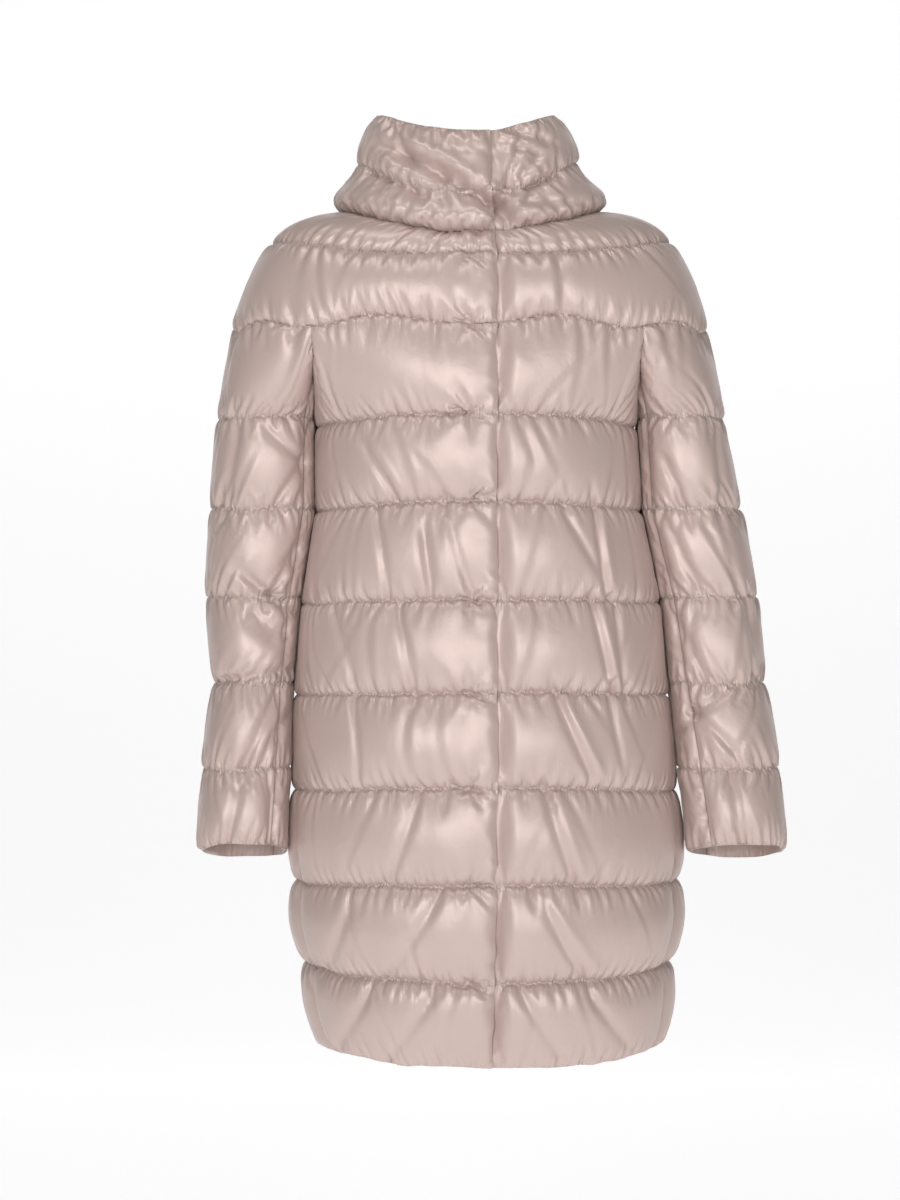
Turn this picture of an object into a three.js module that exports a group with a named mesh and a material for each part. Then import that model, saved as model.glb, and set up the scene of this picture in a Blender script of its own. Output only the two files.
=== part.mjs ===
// A long quilted down coat as it is worn: a funnel collar, a round yoke in one with the shoulders, two
// fronts closed by a flap that hides the fastening, a back and two-piece sleeves. It is hollow, and open at
// the neck, hem and cuffs. +Z is up, the coat faces -Y, and the origin is inside the neck, level with the
// top of the shoulders, where the wearer holds it up. "right" and "left" in names are the wearer's, so
// right is -X. Millimetres.
//
// Each panel is a wall of padded cloth. Its cloth is stitched flat along quilting lines, each of which is a
// ring round the wearer, and it puffs out in a baffle between one line and the next.
import * as THREE from "three";

const { degToRad, lerp, smoothstep } = THREE.MathUtils;

// Driving dimensions.
const WALL = 2.4; // shell, flattened down and inner cloth where they are stitched together
const EDGE_GAP = 0.3; // how far each panel stops short of a seam that it shares
const NECK_GAP = 1; // the same at the foot of the collar, which leans over the yoke
const ARMHOLE_GAP = 0.6; // the same at the armhole, where body and sleeve lie back to back
const BODY_ROUNDNESS = 2.2; // exponent of a section: 2 is an ellipse, and more is boxier
const SLEEVE_ROUNDNESS = 2.3;
const PLUMPNESS = 0.8; // exponent of a baffle's profile: 1 is a parabola, and less is fuller
const ARMHOLE_CURVE = 0.6; // the same for the armhole's outline, seen from the side
const OPEN_EDGE = 0.93; // share of the profile that is used up where a baffle ends in an open edge
const PLACKET_SEAM_X = -6; // the line on the right front from which the flap hangs free
const FLAP_LIFT = 3; // clearance for the left front under the flap
const CLOTH_COLOUR = "#d0bab2"; // pale rose beige
const CLOTH_ROUGHNESS = 0.42;
const OVERLAP_RAMP_X = -52; // where the right side starts to rise over the left side
const PROFILE_STEPS = [0, 0.2, 0.5, 0.8]; // rows of points in a baffle, and the next line closes it

// Rings round the wearer from the collar's rim to the hem: height at the front, side and back; middle and
// half width in X; depth in front of and behind the origin; how far the cloth faces upwards at the front and
// side, in degrees; and the X of the flap's free edge.
const COLUMNS = [
  "zFront", "zSide", "zBack", "centre", "half", "front", "back", "liftFront", "liftSide", "edge",
];
const ROWS = {
  rim: [84, 107, 98, -9, 93, 80, 84, 4, 6, 14],
  collar: [20, 60, 58, -8, 113, 95, 92, 6, 6, 16],
  neck: [-22, 6, 16, -4, 125, 93, 88, 14, 70, 19],
  line1: [-46, -25, -34, -4, 208, 107, 104, 20, 46, 21],
  line2: [-113, -114, -112, -5, 246, 118, 112, 8, 12, 21],
  line3: [-208, -217, -211, 1, 163, 125, 113, 0, 0, 21],
  line4: [-297, -306, -300, 4, 166, 122, 107, 0, 0, 21],
  line5: [-397, -401, -399, 6, 184, 126, 111, 0, 0, 21],
  line6: [-490, -496, -493, 7, 191, 132, 120, 0, 0, 21],
  line7: [-586, -595, -590, 10, 195, 138, 128, 0, 0, 21],
  line8: [-684, -690, -687, 12, 197, 142, 132, 0, 0, 20],
  line9: [-783, -775, -780, 13, 187, 139, 128, 0, 0, 18],
  hem: [-869, -861, -863, 17, 176, 130, 119, 0, 0, 16],
};
const RINGS = Object.fromEntries(Object.entries(ROWS).map(([name, row]) => [name, named(COLUMNS, row)]));
const LINE2_WAVE = { height: 5, turn: degToRad(39) }; // the second line rises and dips round the shoulders
const COLLAR_FOOT_LIFT = 14; // the collar stands up from the neck seam, so it faces lower than the yoke there

// Angle from the middle of the front to the side seam on each ring, in degrees: it moves forward lower down.
const SIDE_SEAM = {
  line3: 88, line4: 86, line5: 83, line6: 80, line7: 76, line8: 72, line9: 70, hem: 69,
};

// Baffles, each named after the line above it: puff at the front, side and back; and skew, which is over 1
// where the down has sunk below the middle.
const BAFFLES = {
  rim: { front: 8, side: 7, back: 8, skew: 1 },
  collar: { front: 15, side: 20, back: 16, skew: 2.3 },
  neck: { front: 7, side: 12, back: 8, skew: 1.2 },
  line1: { front: 12, side: 6.5, back: 11, skew: 0.95 },
  line2: { front: 12, side: 1.4, back: 12, skew: 1.1 },
  line3: { front: 12, side: 3, back: 12, skew: 1.1 },
  line4: { front: 12, side: 3, back: 12, skew: 1.1 },
  line5: { front: 12, side: 4, back: 12, skew: 1.1 },
  line6: { front: 13, side: 5, back: 13, skew: 1.1 },
  line7: { front: 13, side: 9, back: 13, skew: 1.1 },
  line8: { front: 14, side: 12.5, back: 14, skew: 1 },
  line9: { front: 14, side: 10, back: 14, skew: 0.9 },
};
const FLAP_PUFF = 5;

// Armholes: X where the front meets the second line, X under the arm, and how far the armhole drops below it.
const ARMHOLES = {
  right: { side: -1, front: -167, under: -161, drop: 40 },
  left: { side: 1, front: 171, under: 163, drop: 40 },
};
// Where the columns of points meet an armhole, in degrees: 0 at its front top, 90 under the arm, 180 at its
// back top. The sleeve's front and back seams start at the third and seventh.
const ARMHOLE_STOPS = [0, 20, 40, 65, 90, 115, 140, 160, 180];
const FRONT_COLUMNS = 6; // along the second line, from the front opening to the armhole
const SHOULDER_COLUMNS = 5; // along it, from the armhole to the outside of the arm

// Sleeve rings: height; X of the side by the body and of the outside; Y of the front and back; and the angle
// of the front seam from the outside of the arm, in degrees.
const SLEEVE_COLUMNS = ["z", "inner", "outer", "front", "back", "seam"];
const SLEEVES = {
  right: [
    [-208, -167, -267, -62, 76, 140],
    [-302, -167, -275, -60, 72, 139],
    [-394, -182, -279, -60, 66, 138],
    [-483, -191, -271, -68, 52, 136],
    [-571, -194, -281, -80, 34, 134],
    [-657, -197, -283, -92, 10, 132],
  ],
  left: [
    [-208, 171, 258, -62, 76, 142],
    [-302, 174, 276, -60, 72, 140],
    [-394, 194, 294, -60, 66, 136],
    [-483, 204, 300, -68, 52, 130],
    [-571, 213, 314, -80, 34, 125],
    [-657, 222, 319, -92, 10, 122],
  ],
};
const CUFF_TILT = 0.2; // the forearm reaches forward, so the back of the cuff hangs lower
const UNDERARM_SQUEEZE = 0.7; // share of its puff that the first baffle loses where the arm meets the body
const SLEEVE_PUFF = { outside: 4, front: 9, inside: 1 };

// A table's row with a name for each of its columns.
function named(columns, row) {
  return Object.fromEntries(columns.map((column, i) => [column, row[i]]));
}

const vec = (x, y, z) => new THREE.Vector3(x, y, z);
const power = (v, exponent) => Math.sign(v) * Math.abs(v) ** exponent;

// A point on a seam, with the direction in which its cloth faces.
function seamPoint(point, normal) {
  return { point, normal: normal.normalize() };
}

// A horizontal section's point and its outward direction, at unit radii, from an angle's sine and cosine.
function section(sine, cosine, roundness) {
  const x = power(sine, 2 / roundness);
  const y = power(cosine, 2 / roundness);
  return { x, y, nx: power(x, roundness - 1), ny: power(y, roundness - 1) };
}

// The point of a ring at an angle from the middle of its front towards +X.
function ringAt(name, angle, footLift = null) {
  const ring = RINGS[name];
  const sine = Math.sin(angle);
  const cosine = Math.cos(angle);
  const depth = cosine > 0 ? ring.front : ring.back;
  const { x, y, nx, ny } = section(sine, cosine, BODY_ROUNDNESS);
  let z = lerp(cosine > 0 ? ring.zFront : ring.zBack, ring.zSide, sine ** 2);
  if (name === "line2") {
    const folded = Math.asin(Math.min(1, Math.abs(sine)));
    z -= LINE2_WAVE.height * Math.cos((folded / LINE2_WAVE.turn) * 2 * Math.PI);
  }
  const lift = degToRad(footLift ?? lerp(ring.liftFront, ring.liftSide, sine ** 2));
  const flat = vec(nx / ring.half, -ny / depth, 0).normalize();
  return seamPoint(
    vec(ring.centre + ring.half * x, -depth * y, z),
    flat.multiplyScalar(Math.cos(lift)).setZ(Math.sin(lift)),
  );
}

// The angle at which the front of a ring has a given X.
function angleAt(name, x) {
  const ring = RINGS[name];
  return Math.asin(power((x - ring.centre) / ring.half, BODY_ROUNDNESS / 2));
}

// The armhole's seam, from its front top (0 degrees) under the arm to its back top (180), as the body's edge
// (onSleeve -1) or as the sleeve's (onSleeve 1).
function armholeAt(sideName, degrees, onSleeve) {
  const hole = ARMHOLES[sideName];
  const turn = degToRad(degrees);
  const sine = Math.sin(turn);
  const cosine = Math.cos(turn);
  const topAngle = angleAt("line2", hole.front);
  const top = [ringAt("line2", topAngle), ringAt("line2", Math.PI - topAngle)];
  const end = top[cosine > 0 ? 0 : 1];
  const x = lerp(end.point.x, hole.under, sine) + (hole.side * onSleeve * ARMHOLE_GAP) / 2;
  const y = lerp(top[0].point.y, top[1].point.y, (1 - cosine) / 2);
  const z = end.point.z - hole.drop * Math.abs(sine) ** ARMHOLE_CURVE;
  const away = vec(-hole.side * onSleeve * sine, 0, 0);
  return seamPoint(vec(x, y, z), end.normal.clone().multiplyScalar(Math.abs(cosine)).add(away));
}

// A run of a seam: its steps from one stop to the next.
function run(seam, stops) {
  return stops.slice(1).map((to, i) => ({ seam, from: stops[i], to }));
}

// A run along the second line between two angles.
function lineRun(from, to, steps) {
  const stops = Array.from({ length: steps + 1 }, (_, i) => lerp(from, to, i / steps));
  return run((angle) => ringAt("line2", angle), stops);
}

// A run round an armhole, as the body's edge (onSleeve -1) or the sleeve's (onSleeve 1).
function armholeRun(sideName, stops, onSleeve) {
  return run((degrees) => armholeAt(sideName, degrees, onSleeve), stops);
}

// A seam made of steps, as a function of a share of its columns from 0 to 1.
function along(steps) {
  return (share) => {
    const place = share * steps.length;
    const index = Math.min(Math.floor(place), steps.length - 1);
    return steps[index].seam(lerp(steps[index].from, steps[index].to, place - index));
  };
}

// The point on a baffle's quilting plane, which runs straight from one line to the next.
function between(upper, lower, share) {
  return seamPoint(
    upper.point.clone().lerp(lower.point, share),
    upper.normal.clone().lerp(lower.normal, share),
  );
}

// How full a baffle is at a share of its height. An open edge stops short of the flat end of the profile.
function fullness(share, skew, openTop, openFoot) {
  const from = openTop ? 1 - OPEN_EDGE : 0;
  const to = openFoot ? OPEN_EDGE : 1;
  const q = lerp(from, to, share) ** skew;
  return (4 * q * (1 - q)) ** PLUMPNESS;
}

// Puff of a body baffle at an angle from the middle of the front.
function bodyPuff(name, angle) {
  const baffle = BAFFLES[name];
  return lerp(Math.cos(angle) > 0 ? baffle.front : baffle.back, baffle.side, Math.sin(angle) ** 2);
}

// Shares of a panel's width at which it has points. The first and last stop short of the seams there.
function columnShares(seam, columns) {
  const shares = Array.from({ length: columns + 1 }, (_, c) => c / columns);
  const points = shares.map((share) => seam(share).point);
  const width = points.slice(1).reduce((sum, point, i) => sum + point.distanceTo(points[i]), 0);
  shares[0] += EDGE_GAP / width;
  shares[columns] -= EDGE_GAP / width;
  return shares;
}

// One panel as a closed wall. lines are its seams from top to foot, each a function of a share of its width;
// puff(i, share) is the puff of baffle i; lift(share) moves the whole wall outwards; footGap is how far it
// stops short of its last line.
function panel({
  name, lines, columns, puff, skew, lift = () => 0, openTop = false, openFoot = false, footGap = EDGE_GAP,
}) {
  const baffles = lines.length - 1;
  const shares = columnShares(lines[Math.floor(lines.length / 2)], columns);
  const outer = [];
  const inner = [];
  for (let i = 0; i <= baffles; i++) {
    const index = Math.min(i, baffles - 1);
    for (const step of i === baffles ? [1] : PROFILE_STEPS) {
      for (const share of shares) {
        const upper = lines[index](share);
        const lower = lines[index + 1](share);
        const height = upper.point.distanceTo(lower.point);
        const top = i === 0 && step === 0 ? EDGE_GAP / height : step;
        const v = i === baffles ? 1 - footGap / height : top;
        const at = between(upper, lower, v);
        const openings = [openTop && index === 0, openFoot && index === baffles - 1];
        const full = fullness(v, skew(index), ...openings);
        const out = lift(share) + puff(index, share) * full;
        outer.push(at.point.clone().addScaledVector(at.normal, out));
        if (step === 0 || i === baffles) inner.push(at.point.addScaledVector(at.normal, lift(share) - WALL));
      }
    }
  }
  return shell(name, outer, inner, baffles, columns);
}

// A closed mesh from an outer and an inner sheet of points. The inner one has a row at each line only.
function shell(name, outer, inner, baffles, columns) {
  const steps = PROFILE_STEPS.length;
  const across = columns + 1;
  const out = (row, column) => row * across + column;
  const inn = (row, column) => outer.length + row * across + column;
  const faces = [];
  const quad = (a, b, c, d) => faces.push(a, b, c, a, c, d);
  const last = baffles * steps;
  for (let c = 0; c < columns; c++) {
    for (let r = 0; r < last; r++) {
      quad(out(r, c), out(r + 1, c), out(r + 1, c + 1), out(r, c + 1));
    }
    for (let r = 0; r < baffles; r++) {
      quad(inn(r, c), inn(r, c + 1), inn(r + 1, c + 1), inn(r + 1, c));
    }
    quad(out(0, c), out(0, c + 1), inn(0, c + 1), inn(0, c));
    quad(out(last, c), inn(baffles, c), inn(baffles, c + 1), out(last, c + 1));
  }
  for (const [c, turned] of [[0, false], [columns, true]]) {
    const rim = (a, b, d) => faces.push(...(turned ? [a, d, b] : [a, b, d]));
    for (let r = 0; r < baffles; r++) {
      const half = steps / 2;
      for (let s = 0; s < steps; s++) {
        rim(inn(s < half ? r : r + 1, c), out(r * steps + s + 1, c), out(r * steps + s, c));
      }
      rim(inn(r, c), inn(r + 1, c), out(r * steps + half, c));
    }
  }
  const geometry = new THREE.BufferGeometry();
  const positions = [...outer, ...inner].flatMap((p) => [p.x, p.y, p.z]);
  geometry.setAttribute("position", new THREE.Float32BufferAttribute(positions, 3));
  geometry.setIndex(signedVolume(positions, faces) < 0 ? reversed(faces) : faces);
  geometry.computeVertexNormals();
  const mesh = new THREE.Mesh(geometry, clothMaterial());
  mesh.name = name;
  return mesh;
}

function signedVolume(positions, faces) {
  let volume = 0;
  const at = (i) => vec(positions[3 * i], positions[3 * i + 1], positions[3 * i + 2]);
  for (let i = 0; i < faces.length; i += 3) {
    volume += at(faces[i]).dot(at(faces[i + 1]).cross(at(faces[i + 2]))) / 6;
  }
  return volume;
}

function reversed(faces) {
  return faces.map((_, i) => faces[i - (i % 3) + (2 - (i % 3))]);
}

function clothMaterial() {
  return new THREE.MeshStandardMaterial({ color: CLOTH_COLOUR, roughness: CLOTH_ROUGHNESS, metalness: 0 });
}

const BODY_LINES = ["line3", "line4", "line5", "line6", "line7", "line8", "line9", "hem"];
const FRONT_ARMHOLE = ARMHOLE_STOPS.slice(0, 5);
const BACK_ARMHOLE = ARMHOLE_STOPS.slice(4);
const UPPER_FRONT_ARMHOLE = ARMHOLE_STOPS.slice(0, 3);
const UPPER_BACK_ARMHOLE = ARMHOLE_STOPS.slice(6);
const UNDER_ARMHOLE = ARMHOLE_STOPS.slice(2, 7);

const skewOf = (names) => (index) => BAFFLES[names[index]].skew;

// How much of its puff a front keeps near the opening: the left front lies flat under the flap.
function openingFactor(sideName, x) {
  return sideName === "left" ? lerp(0.1, 1, smoothstep(x, 22, 56)) : lerp(0.6, 1, smoothstep(-x, 6, 46));
}

// How far the right side stands out at X to pass over the left side.
function rise(x) {
  return smoothstep(x, OVERLAP_RAMP_X, PLACKET_SEAM_X) * (FLAP_LIFT + WALL);
}

// A front below the yoke, from the front opening to the side seam.
function front(sideName) {
  const { side, front: armholeX } = ARMHOLES[sideName];
  const top = [
    ...lineRun(angleAt("line2", PLACKET_SEAM_X), angleAt("line2", armholeX), FRONT_COLUMNS),
    ...armholeRun(sideName, FRONT_ARMHOLE, -1),
  ];
  const angle = (line, share) => {
    return lerp(angleAt(line, PLACKET_SEAM_X), side * degToRad(SIDE_SEAM[line]), share);
  };
  const names = ["line2", ...BODY_LINES];
  return panel({
    name: `front_${sideName}`,
    lines: [along(top), ...BODY_LINES.map((line) => (share) => ringAt(line, angle(line, share)))],
    columns: top.length,
    puff: (i, share) => {
      const around = angle("line5", share);
      return bodyPuff(names[i], around) * openingFactor(sideName, ringAt("line5", around).point.x);
    },
    lift: (share) => (sideName === "right" ? rise(ringAt("line5", angle("line5", share)).point.x) : 0),
    skew: skewOf(names),
    openFoot: true,
  });
}

// The back below the yoke, from the left side seam to the right one.
function back() {
  const shoulder = (sideName) => Math.PI - angleAt("line2", ARMHOLES[sideName].front);
  const top = [
    ...armholeRun("left", BACK_ARMHOLE, -1),
    ...lineRun(shoulder("left"), shoulder("right"), 2 * FRONT_COLUMNS),
    ...armholeRun("right", [...BACK_ARMHOLE].reverse(), -1),
  ];
  const angle = (line, share) => lerp(degToRad(SIDE_SEAM[line]), degToRad(360 - SIDE_SEAM[line]), share);
  const names = ["line2", ...BODY_LINES];
  return panel({
    name: "back",
    lines: [along(top), ...BODY_LINES.map((line) => (share) => ringAt(line, angle(line, share)))],
    columns: top.length,
    puff: (i, share) => bodyPuff(names[i], angle(BODY_LINES[Math.max(i - 1, 0)], share)),
    skew: skewOf(names),
    openFoot: true,
  });
}

// The yoke's half fronts reach from the front opening to the outside of the arm, where its back joins them.
const YOKE_LINES = ["neck", "line1", "line2"];

function yokeFront(sideName) {
  const { side, front: armholeX } = ARMHOLES[sideName];
  const steps = [
    ...lineRun(angleAt("line2", PLACKET_SEAM_X), angleAt("line2", armholeX), FRONT_COLUMNS),
    ...lineRun(angleAt("line2", armholeX), (side * Math.PI) / 2, SHOULDER_COLUMNS),
  ];
  const angle = (line, share) => lerp(angleAt(line, PLACKET_SEAM_X), (side * Math.PI) / 2, share);
  return panel({
    name: `yoke_front_${sideName}`,
    lines: [(s) => ringAt("neck", angle("neck", s)), (s) => ringAt("line1", angle("line1", s)), along(steps)],
    columns: steps.length,
    puff: (i, share) => {
      const around = angle("line1", share);
      return bodyPuff(YOKE_LINES[i], around) * openingFactor(sideName, ringAt("line1", around).point.x);
    },
    lift: (share) => (sideName === "right" ? rise(ringAt("line1", angle("line1", share)).point.x) : 0),
    skew: skewOf(YOKE_LINES),
  });
}

function yokeBack() {
  const shoulder = (sideName) => Math.PI - angleAt("line2", ARMHOLES[sideName].front);
  const steps = [
    ...lineRun(Math.PI / 2, shoulder("left"), SHOULDER_COLUMNS),
    ...lineRun(shoulder("left"), shoulder("right"), 2 * FRONT_COLUMNS),
    ...lineRun(shoulder("right"), (3 * Math.PI) / 2, SHOULDER_COLUMNS),
  ];
  const angle = (share) => lerp(Math.PI / 2, (3 * Math.PI) / 2, share);
  return panel({
    name: "yoke_back",
    lines: [(s) => ringAt("neck", angle(s)), (s) => ringAt("line1", angle(s)), along(steps)],
    columns: steps.length,
    puff: (i, share) => bodyPuff(YOKE_LINES[i], angle(share)),
    skew: skewOf(YOKE_LINES),
  });
}

// A sleeve ring's point at an angle from the outside of the arm towards its front, in radians.
function sleeveAt(sideName, index, angle) {
  const ring = named(SLEEVE_COLUMNS, SLEEVES[sideName][index]);
  const { side } = ARMHOLES[sideName];
  const halfWidth = Math.abs(ring.outer - ring.inner) / 2;
  const halfDepth = (ring.back - ring.front) / 2;
  const { x, y, nx, ny } = section(Math.cos(angle), Math.sin(angle), SLEEVE_ROUNDNESS);
  const tilt = index === SLEEVES[sideName].length - 1 ? CUFF_TILT : 0;
  const centre = vec((ring.inner + ring.outer) / 2, (ring.front + ring.back) / 2, ring.z);
  return seamPoint(
    centre.add(vec(side * halfWidth * x, -halfDepth * y, tilt * halfDepth * y)),
    vec((side * nx) / halfWidth, -ny / halfDepth, 0),
  );
}

function sleevePuff(angle) {
  const facing = Math.cos(angle);
  return lerp(SLEEVE_PUFF.front, facing > 0 ? SLEEVE_PUFF.outside : SLEEVE_PUFF.inside, facing ** 2);
}

// A sleeve's two panels: the upper one goes round the outside from the front seam to the back seam, and the
// under one goes round the inside between them.
function sleeve(sideName, part) {
  const { front: armholeX } = ARMHOLES[sideName];
  const frontTop = angleAt("line2", armholeX);
  const backTop = Math.sign(frontTop) * Math.PI - frontTop;
  const steps =
    part === "upper"
      ? [
          ...armholeRun(sideName, [...UPPER_FRONT_ARMHOLE].reverse(), 1),
          ...lineRun(frontTop, backTop, 2 * SHOULDER_COLUMNS),
          ...armholeRun(sideName, [...UPPER_BACK_ARMHOLE].reverse(), 1),
        ]
      : armholeRun(sideName, [...UNDER_ARMHOLE].reverse(), 1);
  const seamAngle = (index) => degToRad(SLEEVES[sideName][index][SLEEVE_COLUMNS.indexOf("seam")]);
  const angle = (index, share) =>
    part === "upper"
      ? lerp(seamAngle(index), -seamAngle(index), share)
      : lerp(2 * Math.PI - seamAngle(index), seamAngle(index), share);
  const rings = SLEEVES[sideName].map((_, i) => (share) => sleeveAt(sideName, i, angle(i, share)));
  return panel({
    name: `sleeve_${sideName}_${part}`,
    lines: [along(steps), ...rings],
    columns: steps.length,
    puff: (i, share) => {
      const squeezed = i === 0 && part === "under" ? UNDERARM_SQUEEZE * Math.sin(share * Math.PI) : 0;
      return sleevePuff(angle(Math.max(i - 1, 0), share)) * (1 - squeezed);
    },
    skew: () => 1.1,
    openFoot: true,
  });
}

// The collar is one strip. It starts under its own right end, goes round the neck and ends over its start.
function collar() {
  const angle = (line, share) => {
    return lerp(angleAt(line, PLACKET_SEAM_X), 2 * Math.PI + angleAt(line, RINGS[line].edge), share);
  };
  const overlap = (share) => {
    const around = angle("collar", share);
    return Math.cos(around) > 0 && around > Math.PI ? rise(ringAt("collar", around).point.x) : 0;
  };
  const startFactor = (share) => {
    const around = angle("collar", share);
    return around < Math.PI / 2 ? openingFactor("left", ringAt("collar", around).point.x) : 1;
  };
  return panel({
    name: "collar",
    lines: [
      (s) => ringAt("rim", angle("rim", s)),
      (s) => ringAt("collar", angle("collar", s)),
      (s) => ringAt("neck", angle("neck", s), COLLAR_FOOT_LIFT),
    ],
    columns: 36,
    puff: (i, share) => bodyPuff(["rim", "collar"][i], angle("collar", share)) * startFactor(share),
    skew: skewOf(["rim", "collar"]),
    lift: overlap,
    openTop: true,
    footGap: NECK_GAP,
  });
}

// The flap over the fastening, from the neck seam to the hem.
function flap() {
  const names = ["neck", "line1", "line2", ...BODY_LINES];
  const angle = (line, share) => {
    return lerp(angleAt(line, PLACKET_SEAM_X), angleAt(line, RINGS[line].edge), share);
  };
  return panel({
    name: "placket_flap",
    lines: names.map((line) => (share) => ringAt(line, angle(line, share))),
    columns: 3,
    puff: (_, share) => FLAP_PUFF * lerp(1, 0.7, share),
    skew: () => 1,
    lift: () => FLAP_LIFT + WALL,
    openFoot: true,
  });
}

const coat = new THREE.Group();
coat.name = "puffer_coat";
coat.add(collar(), flap(), yokeFront("right"), yokeFront("left"), yokeBack());
coat.add(front("right"), front("left"), back());
for (const sideName of ["right", "left"]) {
  for (const part of ["upper", "under"]) coat.add(sleeve(sideName, part));
}

export default coat;
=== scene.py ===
"""Looks of the long puffer coat: each panel of quilted cloth as a padded sheet, relaxed as cloth between its
quilting lines, with satin cloth, stitches, light, floor and camera. The coat's lengths are millimetres up to
make_piece, which builds its meshes in metres; those of the floor, lights and camera are metres. +X is the
wearer's left, -Y the front, and +Z up."""

import bpy
import numpy as np
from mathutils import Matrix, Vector


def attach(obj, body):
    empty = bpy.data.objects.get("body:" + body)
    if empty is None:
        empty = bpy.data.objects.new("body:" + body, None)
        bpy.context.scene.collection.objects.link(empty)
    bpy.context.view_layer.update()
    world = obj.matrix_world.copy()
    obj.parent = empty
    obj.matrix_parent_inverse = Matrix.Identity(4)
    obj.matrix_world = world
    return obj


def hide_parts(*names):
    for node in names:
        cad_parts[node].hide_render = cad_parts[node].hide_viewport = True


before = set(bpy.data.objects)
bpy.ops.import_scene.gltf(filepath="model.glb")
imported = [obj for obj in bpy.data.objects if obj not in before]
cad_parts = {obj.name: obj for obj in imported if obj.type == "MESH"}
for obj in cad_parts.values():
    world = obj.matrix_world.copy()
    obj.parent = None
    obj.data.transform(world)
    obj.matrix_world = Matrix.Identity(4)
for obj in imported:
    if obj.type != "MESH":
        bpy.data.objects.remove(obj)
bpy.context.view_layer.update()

# ---------------------------------------------------------------- sizes, those of part.mjs unless noted
WALL = 2.4
BODY_ROUNDNESS = 2.2
SLEEVE_ROUNDNESS = 2.3
PLUMPNESS = 0.95  # 0.8 for the solids, which are rounder
ARMHOLE_CURVE = 0.6
PLACKET_SEAM_X = -6
FLAP_LIFT = 3
OVERLAP_RAMP_X = -52
ARMHOLE_GAP = 0.6
# Heights, middle, half width, depths, how far the cloth faces up in degrees, and where the flap's edge lies.
HEIGHTS = ("z_front", "z_side", "z_back")
COLUMNS = HEIGHTS + ("centre", "half", "front", "back", "lift_front", "lift_side", "edge")
# Half widths at lines 3 to 7 are 1.5 to 2 more than the solids', to close the light beside the sleeves.
ROWS = {
    "rim": (84, 107, 98, -9, 93, 80, 84, 4, 6, 14),
    "collar": (20, 60, 58, -8, 113, 95, 92, 6, 6, 16),
    "neck": (-22, 6, 16, -4, 125, 93, 88, 14, 70, 19),
    "line1": (-46, -25, -34, -4, 208, 107, 104, 20, 46, 21),
    "line2": (-113, -114, -112, -5, 246, 118, 112, 8, 12, 21),
    "line3": (-208, -217, -211, 1, 164.5, 125, 113, 0, 0, 21),
    "line4": (-297, -306, -300, 4, 167.5, 122, 107, 0, 0, 21),
    "line5": (-397, -401, -399, 6, 185.5, 126, 111, 0, 0, 21),
    "line6": (-490, -496, -493, 7, 192.5, 132, 120, 0, 0, 21),
    "line7": (-586, -595, -590, 10, 197, 138, 128, 0, 0, 21),
    "line8": (-684, -690, -687, 12, 197, 142, 132, 0, 0, 20),
    "line9": (-783, -775, -780, 13, 187, 139, 128, 0, 0, 18),
    "hem": (-869, -861, -863, 17, 176, 130, 119, 0, 0, 16),
}
RINGS = {name: dict(zip(COLUMNS, row)) for name, row in ROWS.items()}
WAVE_HEIGHT = 5
WAVE_TURN = np.radians(39)
COLLAR_FOOT_LIFT = 14
COLLAR_RADIUS = 115  # about, to measure along the collar
BODY_LINES = ("line3", "line4", "line5", "line6", "line7", "line8", "line9", "hem")
FRONT_LINES = ("line2",) + BODY_LINES
YOKE_LINES = ("neck", "line1", "line2")
SIDE_SEAM = dict(zip(BODY_LINES, (88, 86, 83, 80, 76, 72, 70, 69)))  # degrees round from the front
# Puff at the front, side and back, and skew, for the baffle below each line. Side puffs below lines 3 to 7 are
# 1 to 1.6 less than the solids', for the wider lines.
BAFFLES = {
    "rim": (8, 7, 8, 1),
    "collar": (15, 20, 16, 2.3),
    "neck": (7, 12, 8, 1.2),
    "line1": (12, 6.5, 11, 0.95),
    "line2": (12, 1.4, 12, 1.1),
    "line3": (12, 1.4, 12, 1.1),
    "line4": (12, 1.4, 12, 1.1),
    "line5": (12, 2.4, 12, 1.1),
    "line6": (13, 3.6, 13, 1.1),
    "line7": (13, 8, 13, 1.1),
    "line8": (14, 12.5, 14, 1),
    "line9": (14, 10, 14, 0.9),
}
ARMHOLES = {
    "right": {"side": -1, "front": -167, "under": -161, "drop": 40},
    "left": {"side": 1, "front": 171, "under": 163, "drop": 40},
}
ARMHOLE_STOPS = (0, 20, 40, 65, 90, 115, 140, 160, 180)
FRONT_STEPS = 6
SHOULDER_STEPS = 5
SLEEVE_COLUMNS = ("z", "inner", "outer", "front", "back", "seam")  # seam in degrees from the outer side
SLEEVES = {
    "right": (
        (-208, -167, -267, -62, 76, 140),
        (-302, -167, -275, -60, 72, 139),
        (-394, -182, -279, -60, 66, 138),
        (-483, -191, -271, -68, 52, 136),
        (-571, -194, -281, -80, 34, 134),
        (-657, -197, -283, -92, 10, 132),
    ),
    "left": (
        (-208, 171, 258, -62, 76, 142),
        (-302, 174, 276, -60, 72, 140),
        (-394, 194, 294, -60, 66, 136),
        (-483, 204, 300, -68, 52, 130),
        (-571, 213, 314, -80, 34, 125),
        (-657, 222, 319, -92, 10, 122),
    ),
}
CUFF_TILT = 0.2
UNDERARM_SQUEEZE = 0.7
SLEEVE_PUFF = {"outside": 4, "front": 9, "inside": 1}

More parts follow.
